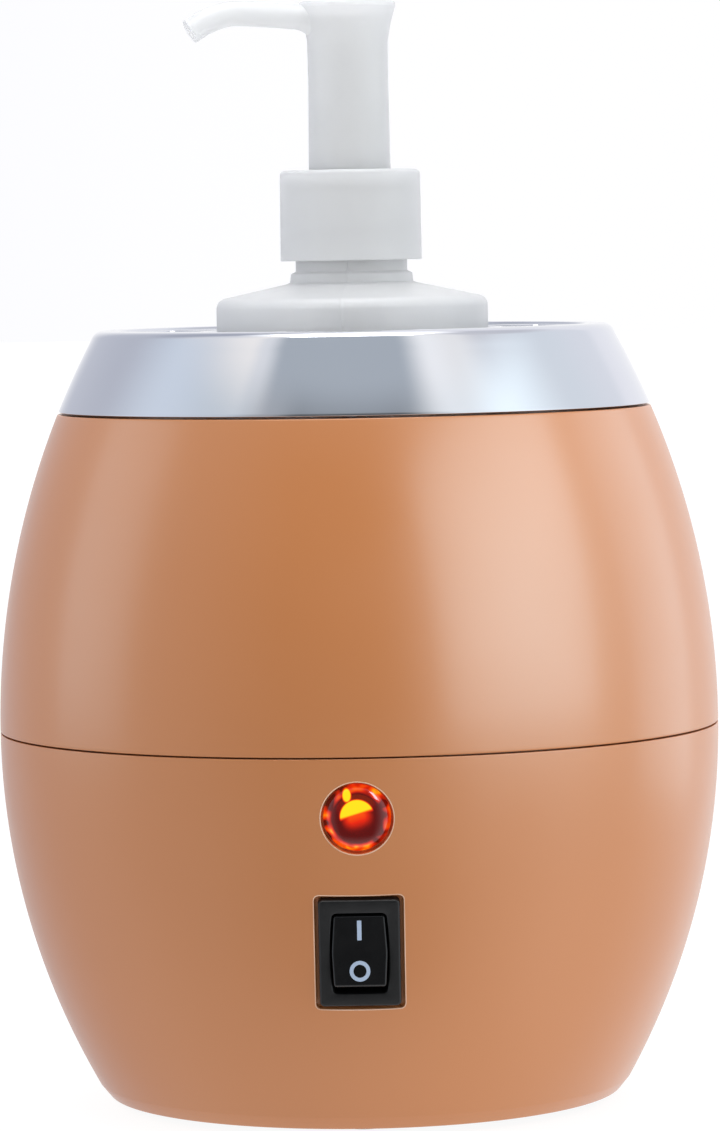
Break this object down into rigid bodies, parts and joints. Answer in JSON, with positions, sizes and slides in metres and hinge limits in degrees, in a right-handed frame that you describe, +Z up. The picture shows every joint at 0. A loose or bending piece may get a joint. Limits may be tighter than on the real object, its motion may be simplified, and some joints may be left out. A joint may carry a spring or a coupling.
{
  "type": "pump bottle warmer",
  "caption": "Barrel-shaped electric warmer with a chromed ring, pilot light and rocker switch, holding a translucent pump bottle in a heated cup for dispensing warm sauce or oil.",
  "frame": {"origin": "on the barrel's axis at the bottom of the rubber feet", "axes": "+Z up along the barrel's axis; the front with the switch faces -Y; +X to the right seen from the front"},
  "size_m": [0.14, 0.14, 0.2137],
  "materials": {
    "caramel_plastic": "moulded ABS, high gloss, light brown",
    "chrome_plating": "chrome-plated ABS, mirror bright",
    "cup_aluminium": "drawn, satin",
    "steel": "zinc plated or stainless",
    "brass": "stamped",
    "milky_pp": "translucent natural polypropylene",
    "black_plastic": "fine satin",
    "foot_rubber": "matt",
    "red_lens": "clear red, polished",
    "neon_glass": "clear, lit orange",
    "heater_silicone": "silicone heating mat",
    "glass_felt": "glass-fibre felt",
    "ceramic": "unglazed",
    "lead_insulation": "silicone-rubber insulation"
  },
  "bodies": {
    "warmer": {"upper_housing": "caramel_plastic", "lower_housing": "caramel_plastic", "base_plate": "black_plastic", "rubber_foot_1": "foot_rubber", "rubber_foot_2": "foot_rubber", "rubber_foot_3": "foot_rubber", "rubber_foot_4": "foot_rubber", "top_ring": "chrome_plating", "base_screw_1": "steel", "base_screw_2": "steel", "base_screw_3": "steel", "base_screw_4": "steel", "ring_screw_1": "steel", "ring_screw_2": "steel", "ring_screw_3": "steel", "cup_screw_1": "steel", "cup_screw_2": "steel", "cup_screw_3": "steel", "thermostat_screw_1": "steel", "thermostat_screw_2": "steel", "heating_cup": "cup_aluminium", "heater_band": "heater_silicone", "insulation_sleeve": "glass_felt", "thermostat": "black_plastic", "thermal_fuse": "brass", "terminal_block": "ceramic", "lead_live_in": "lead_insulation", "lead_switched": "lead_insulation", "lead_to_fuse": "lead_insulation", "lead_to_heater": "lead_insulation", "lead_neutral": "lead_insulation", "lead_pilot_live": "lead_insulation", "lead_pilot_neutral": "lead_insulation", "cord_gland": "foot_rubber", "indicator_lens": "red_lens", "indicator_nut": "black_plastic", "indicator_holder": "black_plastic", "neon_bulb": "neon_glass", "switch_body": "black_plastic", "common_terminal": "brass", "load_terminal": "brass"},
    "rocker": {"rocker": "black_plastic", "rocker_plunger": "ceramic", "plunger_spring": "steel"},
    "contact_lever": {"contact_lever": "brass"},
    "bottle": {"bottle": "milky_pp"},
    "pump": {"pump_housing": "milky_pp", "collar": "milky_pp", "dip_tube": "milky_pp", "ball_retainer": "milky_pp", "neck_gasket": "foot_rubber", "pump_spring": "steel"},
    "closure": {"closure": "milky_pp"},
    "inlet_ball": {"inlet_ball": "steel"},
    "piston": {"piston": "milky_pp"},
    "head": {"actuator": "milky_pp", "stem": "milky_pp"}
  },
  "joints": [
    {"name": "bottle_lift", "type": "slide", "parent": "warmer", "child": "bottle", "axis": [0, 0, 1], "range_m": [0, 0.13]},
    {"name": "rocker_tilt", "type": "hinge", "parent": "warmer", "child": "rocker", "pos_m": [0, -0.06307, 0.03707], "axis": [1, 0, 0], "range_deg": [0, 22]},
    {"name": "contact_tilt", "type": "hinge", "parent": "warmer", "child": "contact_lever", "pos_m": [0, -0.05563, 0.03906], "axis": [1, 0, 0], "range_deg": [-16, 0]},
    {"name": "pump_rise", "type": "slide", "parent": "bottle", "child": "pump", "axis": [0, 0, 1], "range_m": [0, 0.00476]},
    {"name": "closure_turn", "type": "hinge", "parent": "pump", "child": "closure", "pos_m": [0, 0, 0.172], "axis": [0, 0, 1], "range_deg": [0, 540]},
    {"name": "pump_stroke", "type": "slide", "parent": "pump", "child": "piston", "axis": [0, 0, -1], "range_m": [0, 0.012], "stiffness_N_per_m": 400, "springref_m": -0.012, "deforming": ["pump_spring"]},
    {"name": "head_swivel", "type": "hinge", "parent": "piston", "child": "head", "pos_m": [0, 0, 0.2], "axis": [0, 0, 1], "continuous": true},
    {"name": "inlet_valve", "type": "slide", "parent": "pump", "child": "inlet_ball", "axis": [0, 0, 1], "range_m": [0, 0.0015]}
  ],
  "couplings": [
    {"joint": "contact_tilt", "follows": "rocker_tilt", "ratio": -0.727},
    {"joint": "closure_turn", "follows": "pump_rise", "rad_per_m": 1978.9}
  ]
}
